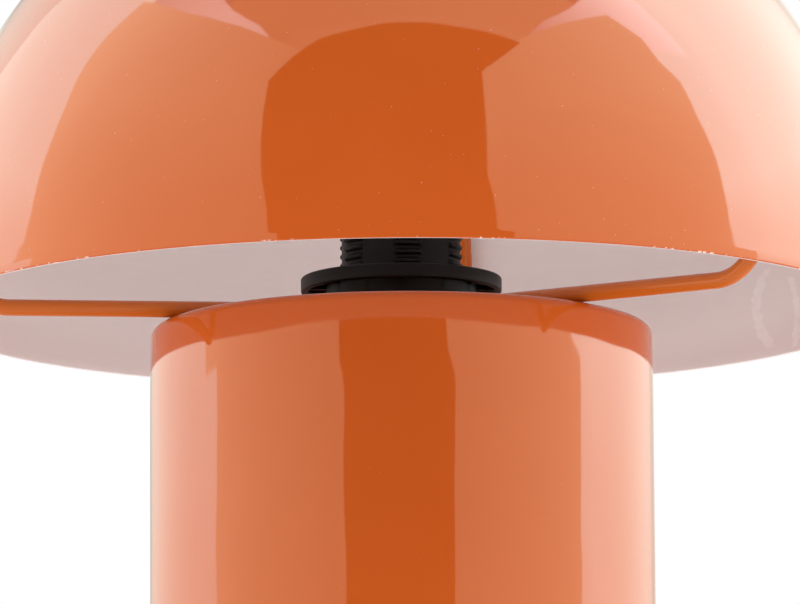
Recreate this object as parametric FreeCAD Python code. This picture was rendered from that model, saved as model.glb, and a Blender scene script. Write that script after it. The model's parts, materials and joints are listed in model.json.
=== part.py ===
"""Mushroom table lamp: a fat steel cylinder under a steel dome.

The lampholder hangs in the top of the base. Three bent rods, welded to a hub washer and to the inside of
the dome, carry the shade. The hub drops over the holder's threaded barrel and the shade ring clamps it on
the base.
Millimetres, +Z up, origin on the table under the middle of the lamp, cord inlet at +Y.
"""
import FreeCAD
import Part
import math
import os

V = FreeCAD.Vector
ORIGIN = V(0, 0, 0)
UP = V(0, 0, 1)

# Base shell: a drawn cup, open below
base_diameter = 110.7
base_height = 126.0
base_sheet = 1.0
base_corner = 2.0
base_hole_gap = 0.3

# Bottom plate: pressed steel, its flange laps the shell's lower edge and its step centres it
plate_sheet = 1.2
plate_recess = 4.5
plate_inset = 0.4
plate_bend = 0.8
step_gap = 0.3

# Rubber feet, glued in the plate's recess
foot_count = 4
foot_diameter = 13.0
foot_taper = 1.0
foot_stand = 1.5
foot_circle_diameter = 78.0
foot_round = 0.8

# Lugs welded inside the shell, and the screws that hold the plate to them
lug_count = 3
lug_width_angle = 16.0
lug_first_angle = 30.0
lug_sheet = 1.5
lug_height = 14.0
lug_reach = 12.0
lug_bend = 1.0
screw_diameter = 4.0
screw_length = 9.0
screw_head_diameter = 7.5
screw_head_height = 2.6
head_round = 0.9
screw_edge = 6.5
screw_hole_gap = 0.25
thread_gap = 0.03
weld_gap = 0.05

# Cord inlet: a snap bush in the rear wall
inlet_height = 18.0
inlet_bore = 6.6
bush_wall = 1.6
bush_flange = 2.2
bush_flange_thickness = 1.6
bush_barb = 0.9
bush_inside = 4.0
bush_gap = 0.1

# Dome shade
shade_diameter = 210.0
shade_sheet = 1.0
skirt_height = 6.5
rim_above_base = 2.8

# Hub washer and bent rods
rod_diameter = 3.6
rod_bend = 12.0
rod_end_height = 40.0
rod_angles = {"rear": 93.0, "left": 210.0, "right": 330.0}
hub_sheet = 1.2
hub_inset = 0.15
hub_hole_gap = 0.55
rod_hub_gap = 0.2
rod_base_gap = 0.3
rod_wall_gap = 0.15
rod_ring_gap = 0.6

# Lampholder for a small screw lamp: barrel thread 28 x 2, interrupted in six columns
barrel_thread = 27.6
thread_pitch = 2.0
thread_depth = 0.7
thread_crest = 0.55
thread_foot = 1.6
thread_columns = 6
column_angle = 27.0
column_first_angle = 48.0
barrel_wall = 1.5
barrel_above_base = 26.0
barrel_below_base = 13.0
barrel_plain_top = 3.0
barrel_web = 2.0
mouth_lead = 0.8
socket_bore = 14.1
well_bore = 12.4
well_depth = 4.0
sleeve_wall = 2.0
insert_gap = 0.2
insert_thickness = 10.0
spigot_height = 3.0
spigot_wall = 1.4
cap_height = 17.0
cap_wall = 1.6
cap_round = 4.0
neck_diameter = 12.0
neck_length = 6.0
neck_bore = 8.4
grip_flats = 14.0
grip_height = 5.0
grip_bore = 6.8

# Contacts in the holder
contact_sheet = 0.5
contact_width = 3.8
contact_gap = 0.1
contact_tail = 2.5
centre_rise = 2.6
centre_offset = 5.5
centre_tip_drop = 0.5
side_height = 16.0
side_window = 8.0
side_cover = 0.5
side_bulge = 0.4

# Shade ring above the base's top, and the clamp ring below it
ring_diameter = 44.3
ring_rim_low = 8.2
ring_rim_high = 11.35
ring_rim_wall = 1.5
ring_plate = 1.5
ring_collar_wall = 2.4
ring_thread_gap = 0.3
ring_round = 0.5
ring_ribs = 12
ring_rib_width = 1.2
ring_rib_depth = 1.0
clamp_diameter = 40.0
clamp_height = 5.0
clamp_notches = 8
clamp_notch = 3.0

# Leads from the holder to the terminal block
lead_diameter = 2.2
lead_gap = 0.1
lead_depth = 5.0
lead_straight = 6.0
lead_fan = 17.0
terminal_wall = 0.8
lead_bend_share = 0.45
block_length = 18.0
block_width = 20.0
block_height = 12.0
block_front = 20.0
block_pitch = 9.0
block_wire_height = 6.0
block_round = 1.5
terminal_screw = 3.0
terminal_screw_height = 3.5
terminal_screw_inset = 4.0
block_screw_diameter = 3.0
block_screw_head = 5.5
block_screw_head_height = 2.0
block_screw_tail = 3.0

# Places worked out from the sizes above
base_radius = base_diameter / 2
wall_radius = base_radius - base_sheet
flange_top = foot_stand + plate_sheet
panel_low = foot_stand + plate_recess
panel_high = panel_low + plate_sheet
screw_circle = wall_radius - screw_edge
shade_radius = shade_diameter / 2
rim_height = base_height + rim_above_base
dome_centre = rim_height + skirt_height
apex = dome_centre + shade_radius
rod_radius = rod_diameter / 2
crest_radius = barrel_thread / 2
root_radius = crest_radius - thread_depth
barrel_inner = root_radius - barrel_wall
ring_bore_radius = crest_radius + ring_thread_gap
hub_hole_radius = crest_radius + hub_hole_gap
hub_radius = ring_diameter / 2 - hub_inset
barrel_top = base_height + barrel_above_base
barrel_low = base_height - barrel_below_base
sleeve_top = barrel_top - barrel_web
insert_low = barrel_low + spigot_height
socket_floor = insert_low + insert_thickness
socket_radius = socket_bore / 2
sleeve_radius = socket_radius + sleeve_wall
insert_radius = barrel_inner - insert_gap
cap_low = barrel_low - cap_height
neck_low = cap_low - neck_length
grip_low = neck_low - grip_height
lead_radius = lead_diameter / 2
lead_hole_radius = lead_radius + lead_gap
lead_terminal = socket_radius + side_cover - contact_gap - terminal_wall - lead_hole_radius


def at_radius(x, y):
    """Point of a profile: distance from the axis and height."""
    return V(x, 0, y)


def profile(corners):
    """Face in the XZ plane from (radius, height, rounding) corners, straight between tangent arcs."""
    edges = []
    ends = []
    count = len(corners)
    for i, (x, z, rounding) in enumerate(corners):
        here = at_radius(x, z)
        if rounding == 0:
            ends.append((here, here))
            continue
        before = (at_radius(*corners[i - 1][:2]) - here).normalize()
        after = (at_radius(*corners[(i + 1) % count][:2]) - here).normalize()
        half_turn = before.getAngle(after) / 2
        reach = rounding / math.tan(half_turn)
        start = here + before * reach
        finish = here + after * reach
        middle_way = (before + after).normalize()
        middle = here + middle_way * (rounding / math.sin(half_turn) - rounding)
        edges.append(Part.Arc(start, middle, finish).toShape())
        ends.append((start, finish))
    for i in range(count):
        start = ends[i][1]
        finish = ends[(i + 1) % count][0]
        if start.distanceToPoint(finish) > 1e-6:
            edges.append(Part.LineSegment(start, finish).toShape())
    return Part.Face(Part.Wire(Part.__sortEdges__(edges)))


def turned(corners, angle=360.0):
    return profile(corners).revolve(ORIGIN, UP, angle)


def rod_of(diameter, low, high, x=0.0, y=0.0):
    """Upright cylinder between two heights."""
    return Part.makeCylinder(diameter / 2, high - low, V(x, y, low))


def box(x, y, z):
    """Box from three (low, high) pairs."""
    size = [high - low for low, high in (x, y, z)]
    return Part.makeBox(*size, V(x[0], y[0], z[0]))


def around(shape, angle):
    copy = shape.copy()
    copy.rotate(ORIGIN, UP, angle)
    return copy


def polar(radius, angle):
    return radius * math.cos(math.radians(angle)), radius * math.sin(math.radians(angle))


def screw(diameter, length, head_diameter, head_height):
    """Pan-head screw pointing up, the head's seat at height 0."""
    return turned([
        (0, -head_height, 0),
        (head_diameter / 2, -head_height, head_round),
        (head_diameter / 2, 0, 0),
        (diameter / 2, 0, 0),
        (diameter / 2, length, 0),
        (0, length, 0),
    ])


def base_shell():
    hole = crest_radius + base_hole_gap
    shell = turned([
        (hole, base_height, 0),
        (base_radius, base_height, base_corner),
        (base_radius, flange_top, 0),
        (wall_radius, flange_top, 0),
        (wall_radius, base_height - base_sheet, base_corner - base_sheet),
        (hole, base_height - base_sheet, 0),
    ])
    inlet_radius = inlet_bore / 2 + bush_wall + bush_gap
    inlet = Part.makeCylinder(inlet_radius, base_diameter, V(0, 0, inlet_height), V(0, 1, 0))
    return shell.cut(inlet)


def bottom_plate():
    edge = base_radius - plate_inset
    step = wall_radius - step_gap
    plate = turned([
        (edge, foot_stand, 0),
        (edge, flange_top, 0),
        (step, flange_top, 0),
        (step, panel_high, plate_bend + plate_sheet),
        (0, panel_high, 0),
        (0, panel_low, 0),
        (step - plate_sheet, panel_low, plate_bend),
        (step - plate_sheet, foot_stand, plate_bend),
    ])
    hole = screw_diameter + 2 * screw_hole_gap
    for angle in lug_angles():
        plate = plate.cut(rod_of(hole, panel_low, panel_high, *polar(screw_circle, angle)))
    tail_hole = block_screw_diameter + 2 * thread_gap
    return plate.cut(rod_of(tail_hole, panel_low, panel_high, 0, block_front + block_length / 2))


def lug_angles():
    return [lug_first_angle + i * 360.0 / lug_count for i in range(lug_count)]


def plate_lug(angle):
    """Angle bracket, its foot on the plate and its back welded to the wall."""
    back = wall_radius - weld_gap
    toe = back - lug_reach
    lug = turned([
        (toe, panel_high, 0),
        (back, panel_high, lug_bend + lug_sheet),
        (back, panel_high + lug_height, 0),
        (back - lug_sheet, panel_high + lug_height, 0),
        (back - lug_sheet, panel_high + lug_sheet, lug_bend),
        (toe, panel_high + lug_sheet, 0),
    ], lug_width_angle)
    lug = around(lug, angle - lug_width_angle / 2)
    tapped = screw_diameter + 2 * thread_gap
    return lug.cut(rod_of(tapped, panel_high, panel_high + 2 * lug_sheet, *polar(screw_circle, angle)))


def plate_screws():
    one = screw(screw_diameter, screw_length, screw_head_diameter, screw_head_height)
    copies = []
    for angle in lug_angles():
        x, y = polar(screw_circle, angle)
        copies.append(one.translated(V(x, y, panel_low)))
    return Part.Compound(copies)


def rubber_feet():
    foot = turned([
        (0, 0, 0),
        (foot_diameter / 2 - foot_taper, 0, foot_round),
        (foot_diameter / 2, panel_low, 0),
        (0, panel_low, 0),
    ])
    copies = []
    for i in range(foot_count):
        x, y = polar(foot_circle_diameter / 2, (i + 0.5) * 360.0 / foot_count)
        copies.append(foot.translated(V(x, y, 0)))
    return Part.Compound(copies)


def cord_bush():
    """Snap bush along +Y: flange against the outside of the wall, barb behind it."""
    bore = inlet_bore / 2
    body = bore + bush_wall
    inner_face = math.sqrt(wall_radius ** 2 - (body + bush_barb) ** 2) - bush_gap
    outer_face = base_radius + bush_flange_thickness
    back = inner_face - bush_inside
    bush = turned([
        (bore, back, bush_wall / 4),
        (body, back, 0),
        (body + bush_barb, inner_face, 0),
        (body, inner_face, 0),
        (body, wall_radius, 0),
        (body + bush_flange, wall_radius, 0),
        (body + bush_flange, outer_face, bush_flange_thickness / 2),
        (bore, outer_face, bush_wall / 2),
    ])
    bush.rotate(ORIGIN, V(1, 0, 0), -90)
    bush.translate(V(0, 0, inlet_height))
    wall_side = rod_of(base_diameter, 0, base_height)
    shank = Part.makeCylinder(body, outer_face, V(0, 0, inlet_height), V(0, 1, 0))
    inside = Part.makeCylinder(body + bush_barb, inner_face, V(0, 0, inlet_height), V(0, 1, 0))
    return bush.cut(wall_side.cut(shank).cut(inside))


def shade_dome():
    inner = shade_radius - shade_sheet
    return turned([
        (shade_radius, rim_height, 0),
        (shade_radius, apex, shade_radius),
        (0, apex, 0),
        (0, apex - shade_sheet, 0),
        (inner, apex - shade_sheet, inner),
        (inner, rim_height, 0),
    ])


def hub_washer():
    return turned([
        (hub_hole_radius, base_height, 0),
        (hub_radius, base_height, 0),
        (hub_radius, base_height + hub_sheet, 0),
        (hub_hole_radius, base_height + hub_sheet, 0),
    ])


def shade_rod(angle):
    """Rod over the hub and the base's edge, bent up and on along the inside of the dome."""
    flat_edge = base_radius - base_corner
    drop = (hub_sheet + rod_hub_gap - rod_base_gap) / (flat_edge - hub_radius)
    slant = math.hypot(1.0, drop)
    axis_at_zero = base_height + rod_base_gap + drop * flat_edge + rod_radius * slant
    start_radius = ring_bore_radius + ring_collar_wall + rod_ring_gap
    start = at_radius(start_radius, axis_at_zero - drop * start_radius)
    # The bend touches the sloping run below and the arc along the dome outside
    leg_radius = shade_radius - shade_sheet - rod_wall_gap - rod_radius
    level = axis_at_zero + rod_bend * slant - dome_centre
    reach = leg_radius - rod_bend
    a = 1 + drop ** 2
    b = -2 * drop * level
    c = level ** 2 - reach ** 2
    bend_x = (-b + math.sqrt(b ** 2 - 4 * a * c)) / (2 * a)
    bend = at_radius(bend_x, dome_centre + level - drop * bend_x)
    leave = bend - at_radius(drop, 1.0) * (rod_bend / slant)
    pole = at_radius(0, dome_centre)
    first = math.atan2(bend.z - dome_centre, bend.x)
    last = math.asin(min(1.0, (rim_height + rod_end_height - dome_centre) / leg_radius))

    def on_leg(turn):
        return pole + at_radius(math.cos(turn), math.sin(turn)) * leg_radius

    def on_bend(turn):
        return bend + at_radius(math.cos(turn), math.sin(turn)) * rod_bend

    down = math.atan2(leave.z - bend.z, leave.x - bend.x)
    path = Part.Wire([
        Part.LineSegment(start, leave).toShape(),
        Part.Arc(leave, on_bend((down + first) / 2), on_leg(first)).toShape(),
        Part.Arc(on_leg(first), on_leg((first + last) / 2), on_leg(last)).toShape(),
    ])
    section = Part.Wire(Part.makeCircle(rod_radius, start, leave - start))
    return around(path.makePipeShell([section], True, False), angle)


def holder_barrel():
    """Threaded skirt of the holder: columns of thread ridges, each a step further up the same screw line."""
    mouth = sleeve_radius
    tube = turned([
        (root_radius, barrel_low, 0),
        (root_radius, barrel_top, mouth_lead),
        (mouth + mouth_lead, barrel_top, 0),
        (mouth, barrel_top - barrel_web, 0),
        (barrel_inner, barrel_top - barrel_web, 0),
        (barrel_inner, barrel_low, 0),
    ])
    ridge_root = root_radius - barrel_wall / 2
    usable = barrel_above_base + barrel_below_base - barrel_plain_top - thread_pitch
    turns = int(usable / thread_pitch)
    ridges = []
    for column in range(thread_columns):
        first = barrel_low + thread_pitch * (0.5 + column / thread_columns)
        for turn in range(turns):
            height = first + turn * thread_pitch
            ridge = turned([
                (ridge_root, height - thread_foot / 2, 0),
                (root_radius, height - thread_foot / 2, 0),
                (crest_radius, height - thread_crest / 2, 0),
                (crest_radius, height + thread_crest / 2, 0),
                (root_radius, height + thread_foot / 2, 0),
                (ridge_root, height + thread_foot / 2, 0),
            ], column_angle)
            middle = column_first_angle + column * 360.0 / thread_columns
            ridges.append(around(ridge, middle - column_angle / 2))
    return tube.fuse(ridges)


def holder_insert():
    """Core of the holder: the screw lamp's sleeve on a disc that carries the contacts."""
    wall_low = socket_floor + well_depth
    core = turned([
        (socket_radius, sleeve_top, 0),
        (sleeve_radius, sleeve_top, 0),
        (sleeve_radius, socket_floor, 0),
        (insert_radius, socket_floor, 0),
        (insert_radius, insert_low, 0),
        (0, insert_low, 0),
        (0, socket_floor, 0),
        (well_bore / 2, socket_floor, 0),
        (well_bore / 2, wall_low, 0),
        (socket_radius, wall_low, 0),
    ])
    half = contact_width / 2 + contact_gap
    side_in = socket_radius + side_cover
    side_out = side_in + contact_sheet + 2 * contact_gap
    top = socket_floor + side_height + contact_gap
    for turn in (0, 180):
        slot = box((side_in, side_out), (-half, half), (insert_low, top))
        window = box((side_in - sleeve_wall, side_in), (-half, half), (socket_floor + side_window, top))
        hole = rod_of(2 * lead_hole_radius, insert_low, insert_low + lead_depth, lead_terminal, 0)
        for cut in (slot, window, hole):
            core = core.cut(around(cut, turn))
    tail = -centre_offset
    thick = contact_sheet / 2 + contact_gap
    return core.cut(box((-half, half), (tail - thick, tail + thick), (insert_low, socket_floor)))


def strip(points, width):
    """Bent sheet strip: the line through (across, height) points, one sheet thick, along X by its width."""
    half = contact_sheet / 2
    left = []
    right = []
    for i, point in enumerate(points):
        here = V(0, *point)
        ways = []
        if i > 0:
            ways.append((here - V(0, *points[i - 1])).normalize())
        if i < len(points) - 1:
            ways.append((V(0, *points[i + 1]) - here).normalize())
        way = (ways[0] + ways[-1]).normalize()
        side = V(0, -way.z, way.y) * (half / math.cos(way.getAngle(ways[0])))
        left.append(here + side)
        right.append(here - side)
    outline = left + right[::-1]
    face = Part.Face(Part.makePolygon(outline + outline[:1]))
    return face.extrude(V(width, 0, 0)).translated(V(-width / 2, 0, 0))


def centre_contact():
    low = socket_floor + contact_sheet / 2
    return strip([
        (-centre_offset, insert_low - contact_tail),
        (-centre_offset, low),
        (-centre_offset / 2, low),
        (0, low + centre_rise),
        (centre_offset / 2, low + centre_rise - centre_tip_drop),
    ], contact_width)


def side_contacts():
    """Two leaves in the sleeve's slots, bulging into its windows."""
    middle = socket_radius + side_cover + contact_gap + contact_sheet / 2
    window_low = socket_floor + side_window
    window_high = socket_floor + side_height
    leaf = strip([
        (middle, insert_low - contact_tail),
        (middle, window_low),
        (middle - side_bulge, (window_low + window_high) / 2),
        (middle, window_high),
    ], contact_width)
    return Part.Compound([around(leaf, -90), around(leaf, 90)])


def holder_cap():
    outer = root_radius
    spigot = barrel_inner - insert_gap
    inside = outer - cap_wall
    return turned([
        (neck_bore / 2, neck_low, 0),
        (neck_diameter / 2, neck_low, 0),
        (neck_diameter / 2, cap_low, 0),
        (outer, cap_low, cap_round),
        (outer, barrel_low, 0),
        (spigot, barrel_low, 0),
        (spigot, insert_low, 0),
        (spigot - spigot_wall, insert_low, 0),
        (spigot - spigot_wall, barrel_low - cap_wall, 0),
        (inside, barrel_low - 2 * cap_wall, 0),
        (inside, cap_low + cap_wall, cap_round - cap_wall),
        (neck_bore / 2, cap_low + cap_wall, 0),
    ])


def cord_grip():
    corner = grip_flats / math.sqrt(3)
    points = [V(*polar(corner, 60.0 * i), grip_low) for i in range(6)]
    nut = Part.Face(Part.makePolygon(points + points[:1])).extrude(UP * grip_height)
    return nut.cut(rod_of(grip_bore, grip_low, neck_low))


def shade_ring():
    """Moulded ring: collar on the hub, flange above it with a rim, ribs under the flange."""
    collar = ring_bore_radius + ring_collar_wall
    rim = ring_diameter / 2
    rim_low = base_height + ring_rim_low
    rim_high = base_height + ring_rim_high
    ring = turned([
        (ring_bore_radius, base_height + hub_sheet, 0),
        (collar, base_height + hub_sheet, ring_round),
        (collar, rim_high - ring_plate, ring_round),
        (rim - ring_rim_wall, rim_high - ring_plate, ring_round),
        (rim - ring_rim_wall, rim_low, 0),
        (rim, rim_low, ring_round),
        (rim, rim_high, ring_round),
        (ring_bore_radius, rim_high, ring_round),
    ])
    rib_low = rim_high - ring_plate - ring_rib_depth
    rib = box(
        (collar - ring_collar_wall / 2, rim - ring_rim_wall / 2),
        (-ring_rib_width / 2, ring_rib_width / 2),
        (rib_low, rim_high - ring_plate / 2))
    ribs = [around(rib, (i + 0.5) * 360.0 / ring_ribs) for i in range(ring_ribs)]
    return ring.fuse(ribs).removeSplitter()


def clamp_ring():
    """Ring nut on the barrel under the base's top, notched for a spanner."""
    high = base_height - base_sheet
    ring = turned([
        (ring_bore_radius, high - clamp_height, 0),
        (clamp_diameter / 2, high - clamp_height, ring_round),
        (clamp_diameter / 2, high, 0),
        (ring_bore_radius, high, 0),
    ])
    depth = clamp_notch / 2
    edge = clamp_diameter / 2
    half = clamp_notch / 2
    notch = box((edge - depth, edge + depth), (-half, half), (high - clamp_height, high))
    return ring.cut([around(notch, i * 360.0 / clamp_notches) for i in range(clamp_notches)])


def lead(side):
    """Insulated lead from a push-in terminal through the cap's neck to the terminal block."""
    wire_height = panel_high + block_wire_height
    gate = side * block_pitch / 2
    below_grip = grip_low - lead_straight
    fan_out = below_grip - lead_fan
    path = [
        V(side * lead_terminal, 0, insert_low + lead_depth),
        V(side * lead_terminal, 0, insert_low - spigot_height),
        V(side * lead_hole_radius, 0, cap_low + cap_wall),
        V(side * lead_hole_radius, 0, below_grip),
        V(gate, 0, fan_out),
        V(gate, 0, wire_height),
        V(gate, block_front + terminal_screw_inset, wire_height),
    ]
    edges = []
    start = path[0]
    for before, corner, after in zip(path, path[1:], path[2:]):
        way_in = corner - before
        way_out = after - corner
        turn = way_in.getAngle(way_out)
        reach = lead_bend_share * min(way_in.Length, way_out.Length)
        bend = reach / math.tan(turn / 2)
        into = way_in.normalize()
        out = way_out.normalize()
        begin = corner - into * reach
        finish = corner + out * reach
        inward = (out - into).normalize()
        middle = corner + inward * (bend / math.cos(turn / 2) - bend)
        edges.append(Part.LineSegment(start, begin).toShape())
        edges.append(Part.Arc(begin, middle, finish).toShape())
        start = finish
    edges.append(Part.LineSegment(start, path[-1]).toShape())
    wire = Part.Wire(edges)
    section = Part.Wire(Part.makeCircle(lead_radius, path[0], V(0, 0, -1)))
    return wire.makePipeShell([section], True, False)


def terminal_block():
    """Two-way block on the bottom plate: wires from both ends, clamp screws from above."""
    wire_height = panel_high + block_wire_height
    high = panel_high + block_height
    back = block_front + block_length
    body = box((-block_width / 2, block_width / 2), (block_front, back), (panel_high, high))
    upright = [e for e in body.Edges if abs(e.tangentAt(e.FirstParameter).z) > 0.9]
    body = body.makeFillet(block_round, upright)
    middle = block_front + block_length / 2
    for side in (-1, 1):
        x = side * block_pitch / 2
        wire = Part.makeCylinder(lead_hole_radius, block_length, V(x, block_front, wire_height), V(0, 1, 0))
        body = body.cut(wire)
        for y in (block_front + terminal_screw_inset, back - terminal_screw_inset):
            body = body.cut(rod_of(terminal_screw + 2 * thread_gap, wire_height, high, x, y))
    body = body.cut(rod_of(block_screw_diameter + 2 * screw_hole_gap, panel_high, high, 0, middle))
    head = block_screw_head + 2 * screw_hole_gap
    return body.cut(rod_of(head, high - block_screw_head_height, high, 0, middle))


def terminal_screws():
    """Clamp screws of the block, turned down onto the wires."""
    low = panel_high + block_wire_height + lead_hole_radius
    back = block_front + block_length
    copies = []
    for side in (-1, 1):
        for y in (block_front + terminal_screw_inset, back - terminal_screw_inset):
            copies.append(rod_of(terminal_screw, low, low + terminal_screw_height, side * block_pitch / 2, y))
    return Part.Compound(copies)


def block_screw():
    seat = panel_high + block_height - block_screw_head_height
    length = seat - panel_low + block_screw_tail - plate_sheet
    one = screw(block_screw_diameter, length, block_screw_head, block_screw_head_height)
    one.rotate(ORIGIN, V(1, 0, 0), 180)
    return one.translated(V(0, block_front + block_length / 2, seat))


def main():
    os.makedirs("parts", exist_ok=True)
    nodes = {
        "base_shell": base_shell(),
        "bottom_plate": bottom_plate(),
        "plate_screws": plate_screws(),
        "rubber_feet": rubber_feet(),
        "cord_bush": cord_bush(),
        "shade_dome": shade_dome(),
        "hub_washer": hub_washer(),
        "shade_ring": shade_ring(),
        "clamp_ring": clamp_ring(),
        "holder_barrel": holder_barrel(),
        "holder_insert": holder_insert(),
        "holder_cap": holder_cap(),
        "cord_grip": cord_grip(),
        "centre_contact": centre_contact(),
        "side_contacts": side_contacts(),
        "lead_live": lead(1),
        "lead_neutral": lead(-1),
        "terminal_block": terminal_block(),
        "terminal_screws": terminal_screws(),
        "block_screw": block_screw(),
    }
    for i, angle in enumerate(lug_angles()):
        nodes[f"plate_lug_{i + 1}"] = plate_lug(angle)
    for name, angle in rod_angles.items():
        nodes[f"shade_rod_{name}"] = shade_rod(angle)
    for name, shape in nodes.items():
        state = "valid" if shape.isValid() else "INVALID"
        print(name, len(shape.Solids), "solid(s)", round(shape.Volume, 1), "mm3", state)
        shape.exportStep(f"parts/{name}.step")


main()
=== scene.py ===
import bmesh
import bpy
import json
import math
from mathutils import Matrix, Vector


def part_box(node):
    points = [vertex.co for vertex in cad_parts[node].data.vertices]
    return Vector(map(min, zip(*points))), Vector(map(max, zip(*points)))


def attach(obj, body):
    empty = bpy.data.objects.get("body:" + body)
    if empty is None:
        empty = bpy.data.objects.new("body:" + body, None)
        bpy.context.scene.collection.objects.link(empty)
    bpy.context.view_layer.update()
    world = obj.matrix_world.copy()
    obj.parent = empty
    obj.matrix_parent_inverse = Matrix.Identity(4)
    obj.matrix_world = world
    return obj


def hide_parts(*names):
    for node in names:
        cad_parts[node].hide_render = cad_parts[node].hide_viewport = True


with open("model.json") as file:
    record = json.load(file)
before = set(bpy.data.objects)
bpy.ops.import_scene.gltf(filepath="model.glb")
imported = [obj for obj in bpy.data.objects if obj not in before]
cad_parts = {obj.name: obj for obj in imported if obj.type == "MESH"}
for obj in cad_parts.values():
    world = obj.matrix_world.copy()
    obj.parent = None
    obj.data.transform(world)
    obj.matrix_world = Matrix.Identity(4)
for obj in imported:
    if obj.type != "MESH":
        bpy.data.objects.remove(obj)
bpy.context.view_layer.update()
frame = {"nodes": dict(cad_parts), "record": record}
mm = 0.001
slack = 0.01 * mm  # how near a height a vertex counts as on it
weld = 0.001 * mm  # vertices nearer than this become one
print("frame loaded,", len(frame["nodes"]), "nodes")


# sRGB hex to the linear values that the shaders take
def linear(hexCode):
    values = [int(hexCode[i:i + 2], 16) / 255 for i in (1, 3, 5)]
    return [v / 12.92 if v <= 0.04045 else ((v + 0.055) / 1.055) ** 2.4 for v in values] + [1.0]


# One node with its settings; links are (socket of this node, source node, source socket)
def addNode(tree, kind, settings=(), inputs=(), links=()):
    node = tree.nodes.new(kind)
    for key, value in dict(settings).items():
        setattr(node, key, value)
    for key, value in dict(inputs).items():
        node.inputs[key].default_value = value
    for socket, source, output in links:
        tree.links.new(source.outputs[output], node.inputs[socket])
    return node


def blankMaterial(name):
    material = bpy.data.materials.new(name)
    material.use_nodes = True
    material.node_tree.nodes.clear()
    return material, material.node_tree


def startMaterial(name):
    material, tree = blankMaterial(name)
    shader = addNode(tree, "ShaderNodeBsdfPrincipled")
    addNode(tree, "ShaderNodeOutputMaterial", links=[("Surface", shader, "BSDF")])
    place = addNode(tree, "ShaderNodeTexCoord")
    return material, tree, shader, place


# Stoved gloss enamel on drawn steel: a deep even colour under a wet shine, whose edges wander a little
# because the paint has orange peel and the sheet below is not quite even. Dust shows as pale pin points,
# and at the shade's lower edge the paint is chipped down to the white coat in places.
enamel = {"ior": 1.5, "mottle": 45 * mm, "peel": 2.6 * mm, "peelHeight": 0.0012 * mm,
          "dustCell": 2.1 * mm, "dustSize": 0.15 * mm, "dustRange": 1.4,
          "chip": "#EAD3C8", "chipLength": 0.8 * mm, "chipCluster": 17 * mm, "clusterShare": 0.7, "chipStart": 1.0,
          "chipHeight": 0.25 * mm, "chipDepth": 2 * mm}
# dustFree is the share of dust cells that stay empty
enamelKinds = {
    "stovedEnamelOnDome": {"colour": "#C65A22", "deep": "#C05318", "roughness": 0.045, "specular": 0.5,
                           "wave": 38 * mm, "waveHeight": 0.34 * mm, "dustFree": 0.55},
    # the straight wall shows the sheet's waves more; its colour is a darker copy of the dome's enamel, which paints
    # shade on the base
    "baseEnamelPaintedShade": {"colour": "#C15720", "deep": "#BB5017", "roughness": 0.045, "specular": 0.5,
                           "wave": 45 * mm, "waveHeight": 0.55 * mm, "dustFree": 0.85},
    # the bars' coat is less flowed out; its lighter, yellower colour paints the light from the floor on the bars
    "barEnamelPaintedFloorLight": {"colour": "#C96620", "deep": "#C15E1A", "roughness": 0.25, "specular": 0.4,
                          "wave": 20 * mm, "waveHeight": 0.05 * mm, "dustFree": 0.9},
}


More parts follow.
